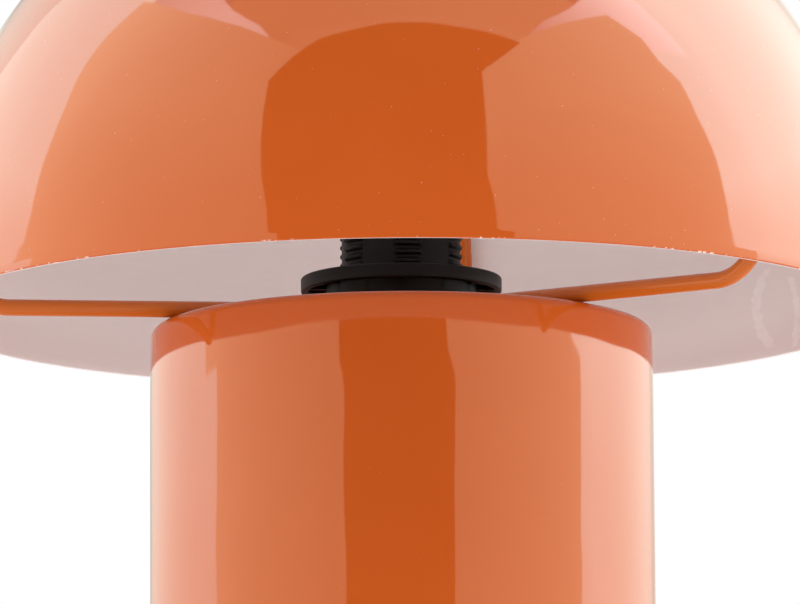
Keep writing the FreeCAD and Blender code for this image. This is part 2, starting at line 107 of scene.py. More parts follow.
def makeEnamel(name, rimHeight, rimRadius):
    kind = enamelKinds[name]
    material, tree, shader, place = startMaterial(name)
    point = [("Vector", place, "Object")]
    mottle = addNode(tree, "ShaderNodeTexNoise", inputs={"Scale": 1 / enamel["mottle"], "Detail": 3.0}, links=point)
    colour = addNode(tree, "ShaderNodeMix", {"data_type": "RGBA"},
                     {"A": linear(kind["deep"]), "B": linear(kind["colour"])}, [("Factor", mottle, "Fac")])
    # dust: the middles of some Voronoi cells, stronger and fainter
    cells = addNode(tree, "ShaderNodeTexVoronoi", inputs={"Scale": 1 / enamel["dustCell"]}, links=point)
    pin = addNode(tree, "ShaderNodeMath", {"operation": "LESS_THAN"},
                  {1: enamel["dustSize"] / enamel["dustCell"]}, [(0, cells, "Distance")])
    chance = addNode(tree, "ShaderNodeSeparateColor", links=[("Color", cells, "Color")])
    some = addNode(tree, "ShaderNodeMapRange", {},
                   {"From Min": kind["dustFree"], "From Max": kind["dustFree"] + enamel["dustRange"]},
                   [("Value", chance, "Red")])
    dust = addNode(tree, "ShaderNodeMath", {"operation": "MULTIPLY"},
                   links=[(0, pin, "Value"), (1, some, "Result")])
    # chips: clusters of flakes, kept to the lowest and outermost paint
    axes = addNode(tree, "ShaderNodeSeparateXYZ", links=point)
    low = addNode(tree, "ShaderNodeMath", {"operation": "LESS_THAN"}, {1: rimHeight + enamel["chipHeight"]},
                  [(0, axes, "Z")])
    across = addNode(tree, "ShaderNodeVectorMath", {"operation": "MULTIPLY"}, {1: (1, 1, 0)},
                     [(0, place, "Object")])
    reach = addNode(tree, "ShaderNodeVectorMath", {"operation": "LENGTH"}, links=[(0, across, "Vector")])
    outer = addNode(tree, "ShaderNodeMath", {"operation": "GREATER_THAN"}, {1: rimRadius - enamel["chipDepth"]},
                    [(0, reach, "Value")])
    flakes = addNode(tree, "ShaderNodeTexNoise", inputs={"Scale": 1 / enamel["chipLength"], "Detail": 3.0},
                     links=point)
    cluster = addNode(tree, "ShaderNodeTexNoise", inputs={"Scale": 1 / enamel["chipCluster"], "Detail": 1.0},
                      links=point)
    loose = addNode(tree, "ShaderNodeMath", {"operation": "MULTIPLY_ADD"}, {1: enamel["clusterShare"]},
                    [(0, cluster, "Fac"), (2, flakes, "Fac")])
    broken = addNode(tree, "ShaderNodeMath", {"operation": "GREATER_THAN"}, {1: enamel["chipStart"]},
                     [(0, loose, "Value")])
    edge = addNode(tree, "ShaderNodeMath", {"operation": "MULTIPLY"},
                   links=[(0, low, "Value"), (1, outer, "Value")])
    chips = addNode(tree, "ShaderNodeMath", {"operation": "MULTIPLY"},
                    links=[(0, edge, "Value"), (1, broken, "Value")])
    marks = addNode(tree, "ShaderNodeMath", {"operation": "MAXIMUM"},
                    links=[(0, dust, "Value"), (1, chips, "Value")])
    marked = addNode(tree, "ShaderNodeMix", {"data_type": "RGBA"}, {"B": linear(enamel["chip"])},
                     [("Factor", marks, "Value"), ("A", colour, "Result")])
    # orange peel over the slower waves of the sheet
    peel = addNode(tree, "ShaderNodeTexNoise", inputs={"Scale": 1 / enamel["peel"], "Detail": 1.0}, links=point)
    wave = addNode(tree, "ShaderNodeTexNoise", inputs={"Scale": 1 / kind["wave"], "Detail": 1.5}, links=point)
    waveBump = addNode(tree, "ShaderNodeBump", inputs={"Strength": 1.0, "Distance": kind["waveHeight"]},
                       links=[("Height", wave, "Fac")])
    peelBump = addNode(tree, "ShaderNodeBump", inputs={"Strength": 1.0, "Distance": enamel["peelHeight"]},
                       links=[("Height", peel, "Fac"), ("Normal", waveBump, "Normal")])
    tree.links.new(marked.outputs["Result"], shader.inputs["Base Color"])
    tree.links.new(peelBump.outputs["Normal"], shader.inputs["Normal"])
    shader.inputs["Roughness"].default_value = kind["roughness"]
    shader.inputs["IOR"].default_value = enamel["ior"]
    shader.inputs["Specular IOR Level"].default_value = kind["specular"]
    return material


# Matt white stoved enamel, sprayed on the turning shade: a chalky white with a fine dry grain, faint rings
# and two pale runs
innerCoat = {"colour": "#F6F3F3", "shadow": "#EFEBEB", "roughness": 0.6, "cloud": 30 * mm,
             "ring": 1.6 * mm, "ringTint": "#E9E3E3", "ringShare": 0.35, "ringStretch": (0.02, 0.02, 1),
             "grain": 0.9 * mm, "grainHeight": 0.02 * mm, "grainStrength": 0.6,
             "runTint": "#FFFFFF", "runGrain": 1.7 * mm}
# bow is how far the run bends aside, in degrees per square millimetre from its middle height
coatRuns = (
    {"azimuth": 50.1, "bow": -0.035, "halfWidth": 0.9, "height": 140 * mm, "halfHeight": 9 * mm},
    {"azimuth": 41.7, "bow": 0.013, "halfWidth": 0.7, "height": 138 * mm, "halfHeight": 8 * mm},
)


def makeInnerCoat():
    material, tree, shader, place = startMaterial("mattWhiteEnamel")
    point = [("Vector", place, "Object")]
    cloud = addNode(tree, "ShaderNodeTexNoise", inputs={"Scale": 1 / innerCoat["cloud"], "Detail": 4.0}, links=point)
    colour = addNode(tree, "ShaderNodeMix", {"data_type": "RGBA"},
                     {"A": linear(innerCoat["shadow"]), "B": linear(innerCoat["colour"])},
                     [("Factor", cloud, "Fac")])
    # noise drawn out round the axis gives the rings
    drawn = addNode(tree, "ShaderNodeMapping", inputs={"Scale": innerCoat["ringStretch"]}, links=point)
    rings = addNode(tree, "ShaderNodeTexNoise", inputs={"Scale": 1 / innerCoat["ring"], "Detail": 2.0},
                    links=[("Vector", drawn, "Vector")])
    share = addNode(tree, "ShaderNodeMath", {"operation": "MULTIPLY"}, {1: innerCoat["ringShare"]},
                    [(0, rings, "Fac")])
    coat = addNode(tree, "ShaderNodeMix", {"data_type": "RGBA"}, {"B": linear(innerCoat["ringTint"])},
                   [("Factor", share, "Value"), ("A", colour, "Result")])
    # each run is a bowed upright line with a ragged edge; the noise is about a half, so the width counts twice
    axes = addNode(tree, "ShaderNodeSeparateXYZ", links=point)
    azimuth = addNode(tree, "ShaderNodeMath", {"operation": "ARCTAN2"}, links=[(0, axes, "Y"), (1, axes, "X")])
    ragged = addNode(tree, "ShaderNodeTexNoise", inputs={"Scale": 1 / innerCoat["runGrain"], "Detail": 3.0},
                     links=point)
    for run in coatRuns:
        rise = addNode(tree, "ShaderNodeMath", {"operation": "SUBTRACT"}, {1: run["height"]}, [(0, axes, "Z")])
        square = addNode(tree, "ShaderNodeMath", {"operation": "MULTIPLY"},
                         links=[(0, rise, "Value"), (1, rise, "Value")])
        line = addNode(tree, "ShaderNodeMath", {"operation": "MULTIPLY_ADD"},
                       {1: math.radians(run["bow"]) / mm ** 2, 2: math.radians(run["azimuth"])},
                       [(0, square, "Value")])
        aside = addNode(tree, "ShaderNodeMath", {"operation": "SUBTRACT"},
                        links=[(0, azimuth, "Value"), (1, line, "Value")])
        off = addNode(tree, "ShaderNodeMath", {"operation": "ABSOLUTE"}, links=[(0, aside, "Value")])
        limit = addNode(tree, "ShaderNodeMath", {"operation": "MULTIPLY"}, {1: 2 * math.radians(run["halfWidth"])},
                        [(0, ragged, "Fac")])
        inside = addNode(tree, "ShaderNodeMath", {"operation": "LESS_THAN"},
                         links=[(0, off, "Value"), (1, limit, "Value")])
        level = addNode(tree, "ShaderNodeMath", {"operation": "COMPARE"}, {1: 0.0, 2: run["halfHeight"]},
                        [(0, rise, "Value")])
        patch = addNode(tree, "ShaderNodeMath", {"operation": "MULTIPLY"},
                        links=[(0, inside, "Value"), (1, level, "Value")])
        thick = addNode(tree, "ShaderNodeMath", {"operation": "MULTIPLY"},
                        links=[(0, patch, "Value"), (1, ragged, "Fac")])
        coat = addNode(tree, "ShaderNodeMix", {"data_type": "RGBA"}, {"B": linear(innerCoat["runTint"])},
                       [("Factor", thick, "Value"), ("A", coat, "Result")])
    grain = addNode(tree, "ShaderNodeTexNoise", inputs={"Scale": 1 / innerCoat["grain"], "Detail": 2.0}, links=point)
    bump = addNode(tree, "ShaderNodeBump",
                   inputs={"Strength": innerCoat["grainStrength"], "Distance": innerCoat["grainHeight"]},
                   links=[("Height", grain, "Fac")])
    tree.links.new(coat.outputs["Result"], shader.inputs["Base Color"])
    tree.links.new(bump.outputs["Normal"], shader.inputs["Normal"])
    shader.inputs["Roughness"].default_value = innerCoat["roughness"]
    return material


# Moulded, plated, stamped and painted finishes that differ only in colour, shine and grain
plainFinishes = {
    # glass-filled PBT from a spark-eroded mould: soft grey highlights on near black
    "mouldedBlackPbt": {"colour": "#0C0B0B", "second": "#110F0F", "roughness": 0.5, "metallic": 0.0, "specular": 0.22,
                        "grain": 0.5 * mm, "height": 0.012 * mm, "stretch": (1, 1, 1)},
    # zinc-plated cold-rolled steel: bluish grey with a faint rolling direction
    "zincPlatedSteel": {"colour": "#B9BCC0", "second": "#A6AAAF", "roughness": 0.34, "metallic": 1.0, "specular": 0.5,
                        "grain": 0.6 * mm, "height": 0.004 * mm, "stretch": (1, 0.08, 1)},
    # moulded rubber: dull black with a fine bloom
    "mouldedRubber": {"colour": "#171717", "second": "#202020", "roughness": 0.85, "metallic": 0.0, "specular": 0.5,
                      "grain": 0.7 * mm, "height": 0.03 * mm, "stretch": (1, 1, 1)},
    # stamped brass: warm yellow, lightly scratched
    "stampedBrass": {"colour": "#D9B45F", "second": "#C49B48", "roughness": 0.28, "metallic": 1.0, "specular": 0.5,
                     "grain": 0.5 * mm, "height": 0.004 * mm, "stretch": (1, 1, 0.1)},
    # extruded PVC insulation: smooth with a low shine
    "brownPvc": {"colour": "#5A2E17", "second": "#4C2612", "roughness": 0.38, "metallic": 0.0, "specular": 0.5,
                 "grain": 1.2 * mm, "height": 0.008 * mm, "stretch": (1, 1, 0.3)},
    "bluePvc": {"colour": "#2457A6", "second": "#1C4A90", "roughness": 0.38, "metallic": 0.0, "specular": 0.5,
                "grain": 1.2 * mm, "height": 0.008 * mm, "stretch": (1, 1, 0.3)},
    # moulded natural nylon: milky and waxy
    "naturalNylon": {"colour": "#E4DFD0", "second": "#D8D2C0", "roughness": 0.45, "metallic": 0.0, "specular": 0.5,
                     "grain": 0.8 * mm, "height": 0.008 * mm, "stretch": (1, 1, 1)},
    # painted board under the lamp: dull, with the roller's coarse grain
    "paleFloorPaint": {"colour": "#DCDCDA", "second": "#D8D8D6", "roughness": 0.7, "metallic": 0.0, "specular": 0.0,
                       "grain": 3 * mm, "height": 0.02 * mm, "stretch": (1, 1, 1)},
}
plainGrainStrength = 0.7


def makePlainFinish(name):
    finish = plainFinishes[name]
    material, tree, shader, place = startMaterial(name)
    spread = addNode(tree, "ShaderNodeMapping", inputs={"Scale": finish["stretch"]},
                     links=[("Vector", place, "Object")])
    grain = addNode(tree, "ShaderNodeTexNoise", inputs={"Scale": 1 / finish["grain"], "Detail": 3.0},
                    links=[("Vector", spread, "Vector")])
    colour = addNode(tree, "ShaderNodeMix", {"data_type": "RGBA"},
                     {"A": linear(finish["second"]), "B": linear(finish["colour"])}, [("Factor", grain, "Fac")])
    bump = addNode(tree, "ShaderNodeBump", inputs={"Strength": plainGrainStrength, "Distance": finish["height"]},
                   links=[("Height", grain, "Fac")])
    tree.links.new(colour.outputs["Result"], shader.inputs["Base Color"])
    tree.links.new(bump.outputs["Normal"], shader.inputs["Normal"])
    shader.inputs["Roughness"].default_value = finish["roughness"]
    shader.inputs["Metallic"].default_value = finish["metallic"]
    shader.inputs["Specular IOR Level"].default_value = finish["specular"]
    return material


domeLow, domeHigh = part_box("shade_dome")
baseLow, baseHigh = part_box("base_shell")
barrelLow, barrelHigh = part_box("holder_barrel")
ringLow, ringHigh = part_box("shade_ring")

finishes = {name: makePlainFinish(name) for name in plainFinishes}
for kindName in enamelKinds:
    finishes[kindName] = makeEnamel(kindName, domeLow.z, domeHigh.x)
finishes["mattWhiteEnamel"] = makeInnerCoat()
# the orange slot takes the base's darker enamel copy, whose colour paints shade
slotFinish = {
    "orange_enamel": "baseEnamelPaintedShade", "black_plastic": "mouldedBlackPbt", "zinc_steel": "zincPlatedSteel",
    "black_rubber": "mouldedRubber", "contact_brass": "stampedBrass", "brown_insulation": "brownPvc",
    "blue_insulation": "bluePvc", "natural_nylon": "naturalNylon",
}
for part in frame["record"]["subparts"]:
    node = frame["nodes"][part["node"]]
    node.data.materials.clear()
    node.data.materials.append(finishes[slotFinish[part["material_slot"]]])
print("finishes made:", ", ".join(sorted(finishes)))


def deselectAll():
    bpy.ops.object.select_all(action="DESELECT")


def selectOnly(obj):
    deselectAll()
    obj.select_set(True)
    bpy.context.view_layer.objects.active = obj


def editMode():
    bpy.ops.object.mode_set(mode="EDIT")


def objectMode():
    bpy.ops.object.mode_set(mode="OBJECT")


# Selects what passes the test, in edit mode; test takes a bmesh element
def pick(obj, kind, test):
    bpy.context.tool_settings.mesh_select_mode = (kind == "verts", kind == "edges", kind == "faces")
    mesh = bmesh.from_edit_mesh(obj.data)
    for element in (*mesh.faces, *mesh.edges, *mesh.verts):
        element.select_set(False)
    for element in getattr(mesh, kind):
        if test(element):
            element.select_set(True)
    mesh.select_flush_mode()
    bmesh.update_edit_mesh(obj.data)


# Test for edges and faces that lie level at a height
def atHeight(z):
    return lambda e: all(abs(v.co.z - z) < slack for v in e.verts)


# Merges doubles and turns the faces outwards, in edit mode
def closeMesh():
    bpy.ops.mesh.select_all(action="SELECT")
    bpy.ops.mesh.remove_doubles(threshold=weld)
    bpy.ops.mesh.normals_make_consistent(inside=False)


def applyModifier(obj, kind, **settings):
    modifier = obj.modifiers.new(kind.lower(), kind)
    for key, value in settings.items():
        setattr(modifier, key, value)
    bpy.context.view_layer.objects.active = obj
    bpy.ops.object.modifier_apply(modifier=modifier.name)


# Puts the object's place into its mesh, as in a CAD node
def settle(obj):
    selectOnly(obj)
    bpy.ops.object.transform_apply(location=True, rotation=True, scale=True)


def roundEdges(obj, width, degrees):
    applyModifier(obj, "BEVEL", width=width, segments=3, limit_method="ANGLE", angle_limit=math.radians(degrees))


def smoothByAngle(obj, degrees):
    selectOnly(obj)
    bpy.ops.object.shade_smooth_by_angle(angle=math.radians(degrees))


# Union or cut with another object, which is used up
def combine(obj, other, operation):
    applyModifier(obj, "BOOLEAN", operation=operation, object=other, solver="EXACT")
    bpy.data.objects.remove(other)


# A copy with its own mesh, turned round the lamp's axis and raised
def turnedCopy(first, degrees, rise=0.0):
    copy = first.copy()
    copy.data = first.data.copy()
    bpy.context.collection.objects.link(copy)
    copy.rotation_euler.z = math.radians(degrees)
    copy.location.z += rise
    settle(copy)
    return copy


# Turned and raised copies of one object, joined in one; the first is used up
def joinAround(first, places):
    copies = [turnedCopy(first, degrees, rise) for degrees, rise in places]
    bpy.data.objects.remove(first)
    deselectAll()
    for copy in copies:
        copy.select_set(True)
    bpy.context.view_layer.objects.active = copies[0]
    bpy.ops.object.join()
    return copies[0]


def giveFinish(obj, *names):
    obj.data.materials.clear()
    for name in names:
        obj.data.materials.append(finishes[name])


# One vertex is extruded along the profile of (radius, height) points and spun round the lamp's axis
def turnProfile(name, points, steps):
    deselectAll()
    bpy.ops.mesh.primitive_plane_add(size=mm)
    obj = bpy.context.object
    obj.name = name
    editMode()
    bpy.context.tool_settings.mesh_select_mode = (True, False, False)
    bpy.ops.mesh.select_all(action="SELECT")
    bpy.ops.mesh.merge(type="CENTER")
    bpy.ops.transform.translate(value=(points[0][0], 0, points[0][1]))
    for (r0, z0), (r1, z1) in zip(points, points[1:] + points[:1]):
        bpy.ops.mesh.extrude_region_move(TRANSFORM_OT_translate={"value": (r1 - r0, 0, z1 - z0)})
    bpy.ops.mesh.select_all(action="SELECT")
    bpy.ops.mesh.remove_doubles(threshold=weld)
    bpy.ops.mesh.spin(steps=steps, angle=2 * math.pi, center=(0, 0, 0), axis=(0, 0, 1))
    closeMesh()
    objectMode()
    return obj


# Shade: half a sphere on a short skirt, gloss outside and matt white inside
dome = {"segments": 224, "rings": 120, "skirtSteps": 3, "sheet": 1.0 * mm, "edgeRound": 0.3 * mm, "edgeAngle": 50,
        "smooth": 40, "glossFacing": 0.1}


def makeDome():
    radius = domeHigh.x
    centre = domeHigh.z - radius
    deselectAll()
    bpy.ops.mesh.primitive_uv_sphere_add(segments=dome["segments"], ring_count=dome["rings"], radius=radius,
                                         location=(0, 0, centre))
    obj = bpy.context.object
    obj.name = "shadeDome"
    settle(obj)
    editMode()
    pick(obj, "verts", lambda v: v.co.z < centre - slack)
    bpy.ops.mesh.delete(type="VERT")
    pick(obj, "edges", atHeight(centre))
    drop = (domeLow.z - centre) / dome["skirtSteps"]
    for step in range(dome["skirtSteps"]):
        bpy.ops.mesh.extrude_region_move(TRANSFORM_OT_translate={"value": (0, 0, drop)})
    bpy.ops.mesh.select_all(action="SELECT")
    bpy.ops.mesh.normals_make_consistent(inside=False)
    objectMode()
    giveFinish(obj, "stovedEnamelOnDome", "mattWhiteEnamel")
    applyModifier(obj, "SOLIDIFY", thickness=dome["sheet"], offset=-1.0, use_even_offset=True, material_offset=1,
                  material_offset_rim=1)
    roundEdges(obj, dome["edgeRound"], dome["edgeAngle"])
    # the gloss coat comes down over the edge's outer round, and the white one ends at it
    editMode()
    pick(obj, "faces", lambda f: f.calc_center_median().z < domeLow.z + dome["edgeRound"]
         and f.normal.xy.dot(f.calc_center_median().xy.normalized()) > dome["glossFacing"])
    obj.active_material_index = 0
    bpy.ops.object.material_slot_assign()
    objectMode()
    smoothByAngle(obj, dome["smooth"])
    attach(obj, "shade")
    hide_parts("shade_dome")


makeDome()
print("shade made")


# Base: a drawn cup with a soft shoulder, open below, holed for the lampholder and the cord bush
base = {"segments": 224, "sheet": 1.0 * mm, "shoulder": 2.0 * mm, "shoulderSteps": 10, "shoulderInset": 0.6 * mm,
        "holeGap": 0.3 * mm, "inletHeight": 18 * mm, "inletRadius": 5.0 * mm, "inletSides": 48, "inletCut": 20 * mm,
        "supports": (8 * mm, 28 * mm), "smooth": 35, "leanBand": 3.0 * mm, "shoulderReach": 2.1 * mm,
        # height, and how far the wall has come in there
        "lean": ((108 * mm, 0.0), (112 * mm, 0.02 * mm), (116 * mm, 0.06 * mm), (119 * mm, 0.1 * mm),
                 (121.5 * mm, 0.14 * mm), (123.6 * mm, 0.17 * mm))}


def makeBase():
    radius = baseHigh.x
    hole = barrelHigh.x + base["holeGap"]
    deselectAll()
    bpy.ops.mesh.primitive_cylinder_add(vertices=base["segments"], radius=radius, depth=baseHigh.z - baseLow.z,
                                        location=(0, 0, (baseHigh.z + baseLow.z) / 2))
    obj = bpy.context.object
    obj.name = "baseShell"
    settle(obj)
    editMode()
    pick(obj, "faces", atHeight(baseLow.z))
    bpy.ops.mesh.delete(type="FACE")
    pick(obj, "edges", atHeight(baseHigh.z))
    bpy.ops.mesh.bevel(offset=base["shoulder"], segments=base["shoulderSteps"], affect="EDGES")
    pick(obj, "faces", atHeight(baseHigh.z))
    bpy.ops.mesh.inset(thickness=base["shoulderInset"])
    bpy.ops.mesh.inset(thickness=radius - base["shoulder"] - base["shoulderInset"] - hole)
    bpy.ops.mesh.delete(type="FACE")
    for height in base["supports"] + tuple(height for height, inset in base["lean"]):
        bpy.ops.mesh.select_all(action="SELECT")
        bpy.ops.mesh.bisect(plane_co=(0, 0, height), plane_no=(0, 0, 1))
    # the drawn wall leans in a little below its shoulder, and the shoulder comes in with it
    rows = [(height, inset, slack) for height, inset in base["lean"]]
    rows.append((baseHigh.z, base["lean"][-1][1], base["shoulderReach"]))
    for height, inset, reach in rows:
        pick(obj, "verts", lambda v: abs(v.co.z - height) < reach and v.co.xy.length > radius - base["leanBand"])
        bpy.ops.transform.resize(value=(1 - inset / radius, 1 - inset / radius, 1), center_override=(0, 0, height))
    objectMode()
    applyModifier(obj, "SOLIDIFY", thickness=base["sheet"], offset=-1.0, use_even_offset=True)
    deselectAll()
    bpy.ops.mesh.primitive_cylinder_add(vertices=base["inletSides"], radius=base["inletRadius"],
                                        depth=base["inletCut"], location=(0, radius, base["inletHeight"]),
                                        rotation=(math.pi / 2, 0, 0))
    cutter = bpy.context.object
    settle(cutter)
    combine(obj, cutter, "DIFFERENCE")
    smoothByAngle(obj, base["smooth"])
    applyModifier(obj, "WEIGHTED_NORMAL", keep_sharp=True)
    giveFinish(obj, "baseEnamelPaintedShade")
    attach(obj, "base")
    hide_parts("base_shell")


makeBase()
print("base made")


# Shade rods: a round bar that slopes out over the base's shoulder, bends up and follows the dome
rod = {"thickness": 3.6 * mm, "sides": 32, "start": (17.1 * mm, 129.373 * mm), "leave": (89.560 * mm, 126.831 * mm),
       "bendCentre": (89.981 * mm, 138.823 * mm), "bendTurn": 94.252, "bendSteps": 28,
       "legCentre": (0.0, 135.3 * mm), "legTurn": 16.922, "legSteps": 10, "endRound": 0.5 * mm, "endAngle": 50,
       "smooth": 40, "places": (("rear", 93), ("left", 210), ("right", 330))}


def makeRod():
    (r0, z0), (r1, z1) = rod["start"], rod["leave"]
    slope = math.atan2(z1 - z0, r1 - r0)
    deselectAll()
    bpy.ops.mesh.primitive_circle_add(vertices=rod["sides"], radius=rod["thickness"] / 2, fill_type="NGON",
                                      location=(r0, 0, z0), rotation=(0, math.pi / 2 - slope, 0))
    obj = bpy.context.object
    obj.name = "shadeRod"
    settle(obj)
    editMode()
    bpy.ops.mesh.select_all(action="SELECT")
    bpy.ops.mesh.extrude_region_move(TRANSFORM_OT_translate={"value": (r1 - r0, 0, z1 - z0)})
    for centre, turn, steps in ((rod["bendCentre"], rod["bendTurn"], rod["bendSteps"]),
                                (rod["legCentre"], rod["legTurn"], rod["legSteps"])):
        bpy.ops.mesh.spin(steps=steps, angle=math.radians(turn), center=(centre[0], 0, centre[1]), axis=(0, 1, 0))
    closeMesh()
    objectMode()
    roundEdges(obj, rod["endRound"], rod["endAngle"])
    smoothByAngle(obj, rod["smooth"])
    # the bars take the lighter, yellower enamel copy, whose colour paints light from the floor
    giveFinish(obj, "barEnamelPaintedFloorLight")
    return obj


def placeRods():
    first = makeRod()
    for name, degrees in rod["places"]:
        copy = turnedCopy(first, degrees)
        copy.name = "shadeRod." + name
        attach(copy, "shade")
        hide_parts("shade_rod_" + name)
    bpy.data.objects.remove(first)


placeRods()
print("rods made")


# Shade ring: a collar under a flange with a deep rim, and ribs between the two
ring = {"steps": 160, "bore": 14.1 * mm, "collar": 16.5 * mm, "rimLow": 134.2 * mm, "plate": 1.5 * mm,
        "wall": 1.5 * mm, "round": 0.4 * mm, "roundAngle": 60, "ribs": 12, "ribWidth": 1.2 * mm,
        "ribDepth": 1.0 * mm, "ribRoot": 1.2 * mm, "ribRound": 0.25 * mm, "smooth": 35}


def makeRing():
    rim = ringHigh.x
    under = ringHigh.z - ring["plate"]
    inside = rim - ring["wall"]
    obj = turnProfile("shadeRing", [
        (ring["bore"], ringLow.z), (ring["collar"], ringLow.z), (ring["collar"], under), (inside, under),
        (inside, ring["rimLow"]), (rim, ring["rimLow"]), (rim, ringHigh.z),
        (ring["bore"], ringHigh.z)], ring["steps"])
    roundEdges(obj, ring["round"], ring["roundAngle"])
    # one rib, rooted in the collar, the flange and the rim
    low, high = under - ring["ribDepth"], under + ring["plate"] / 2
    near, far = ring["collar"] - ring["ribRoot"], inside + ring["wall"] / 2
    deselectAll()
    bpy.ops.mesh.primitive_cube_add(size=1, location=((near + far) / 2, 0, (low + high) / 2))
    rib = bpy.context.object
    rib.scale = (far - near, ring["ribWidth"], high - low)
    settle(rib)
    editMode()
    pick(rib, "edges", atHeight(low))
    bpy.ops.mesh.bevel(offset=ring["ribRound"], segments=2, affect="EDGES")
    objectMode()
    turn = 360 / ring["ribs"]
    combine(obj, joinAround(rib, [(turn * (i + 0.5), 0) for i in range(ring["ribs"])]), "UNION")
    smoothByAngle(obj, ring["smooth"])
    giveFinish(obj, "mouldedBlackPbt")
    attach(obj, "ring")
    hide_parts("shade_ring")


makeRing()
print("ring made")


# Lampholder barrel: a tube with six columns of short thread ridges that run out at their ends
barrel = {"steps": 120, "root": 13.1 * mm, "inner": 11.6 * mm, "mouth": 9.05 * mm, "lead": 0.8 * mm, "web": 2.0 * mm,
          "pitch": 2.0 * mm, "foot": 1.6 * mm, "crest": 0.55 * mm, "turns": 17, "columns": 6, "firstColumn": 48.0,
          "columnTurn": 27.0, "ridgeSteps": 12, "ridgeRoot": 0.75 * mm, "runOut": 0.955, "endSlack": 0.001,
          "smooth": 30}


# One ridge at angle 0: a slanted section, rooted in the tube, spun over the column's width
def makeRidge(height):
    depth = barrelHigh.x - barrel["root"]
    middle = barrel["root"] + depth / 2
    deselectAll()
    bpy.ops.mesh.primitive_plane_add(size=1, location=(middle, 0, height), rotation=(math.pi / 2, 0, 0))
    obj = bpy.context.object
    obj.scale = (depth, barrel["foot"], 1)
    settle(obj)
    editMode()
    pick(obj, "verts", lambda v: v.co.x > middle)
    bpy.ops.transform.resize(value=(1, 1, barrel["crest"] / barrel["foot"]),
                             center_override=(barrelHigh.x, 0, height))
    pick(obj, "edges", lambda e: all(v.co.x < middle for v in e.verts))
    bpy.ops.mesh.extrude_region_move(TRANSFORM_OT_translate={"value": (-barrel["ridgeRoot"], 0, 0)})
    objectMode()
    obj.rotation_euler.z = math.radians(-barrel["columnTurn"] / 2)
    settle(obj)
    editMode()
    bpy.ops.mesh.select_all(action="SELECT")
    bpy.ops.mesh.spin(steps=barrel["ridgeSteps"], angle=math.radians(-barrel["columnTurn"]), center=(0, 0, 0),
                      axis=(0, 0, 1))
    closeMesh()
    # the crest sinks into the tube at both ends
    ends = math.radians(barrel["columnTurn"] / 2) - barrel["endSlack"]
    pick(obj, "verts", lambda v: v.co.xy.length > middle and abs(math.atan2(v.co.y, v.co.x)) > ends)
    bpy.ops.transform.resize(value=(barrel["runOut"], barrel["runOut"], 1), center_override=(0, 0, height))
    objectMode()
    return obj


def makeBarrel():
    low, top = barrelLow.z, barrelHigh.z
    obj = turnProfile("holderBarrel", [
        (barrel["root"], low), (barrel["root"], top - barrel["lead"]), (barrel["root"] - barrel["lead"], top),
        (barrel["mouth"] + barrel["lead"], top), (barrel["mouth"], top - barrel["web"]),
        (barrel["inner"], top - barrel["web"]), (barrel["inner"], low)], barrel["steps"])
    ridge = makeRidge(low + barrel["pitch"] / 2)
    applyModifier(ridge, "ARRAY", count=barrel["turns"], use_relative_offset=False, use_constant_offset=True,
                  constant_offset_displace=(0, 0, barrel["pitch"]))
    # each column stands a step further along the screw line
    columns = [(barrel["firstColumn"] + i * 360 / barrel["columns"], i * barrel["pitch"] / barrel["columns"])
               for i in range(barrel["columns"])]
    combine(obj, joinAround(ridge, columns), "UNION")
    smoothByAngle(obj, barrel["smooth"])
    giveFinish(obj, "mouldedBlackPbt")
    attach(obj, "base")
    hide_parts("holder_barrel")


makeBarrel()
print("barrel made")


# Studio: soft lamps give the light, and cards that only the gloss sees give the reflections of a light tent
studio = {"turn": 11.5, "fill": 0.56, "lampHeight": 140 * mm, "lowGlow": 170 * mm, "highGlow": 430 * mm,
          "floorGlow": 1.15, "floorGlowSize": 0.8, "floorGlowHeight": 4 * mm, "floorRadius": 3.0, "floorSides": 96,
          "floorHole": 45 * mm, "floorNear": 0.24, "floorFar": 0.8}
lamps = {
    # azimuth from the camera's side, elevation, distance, width, height, watts
    "softLeft": (-88, 0, 1.2, 1.2, 0.3, 5.5),
    "softRight": (84, 0, 1.2, 1.2, 0.3, 5.7),
    "frontLeft": (-42, 0, 1.3, 0.8, 0.25, 1.2),
    "frontRight": (40, 0, 1.3, 0.8, 0.25, 1.7),
    "backLeft": (-150, 50, 1.2, 1.0, 1.0, 3.0),
    "backRight": (150, 50, 1.2, 1.0, 1.0, 3.0),
    "above": (0, 60, 1.3, 1.0, 1.0, 4.9),
}
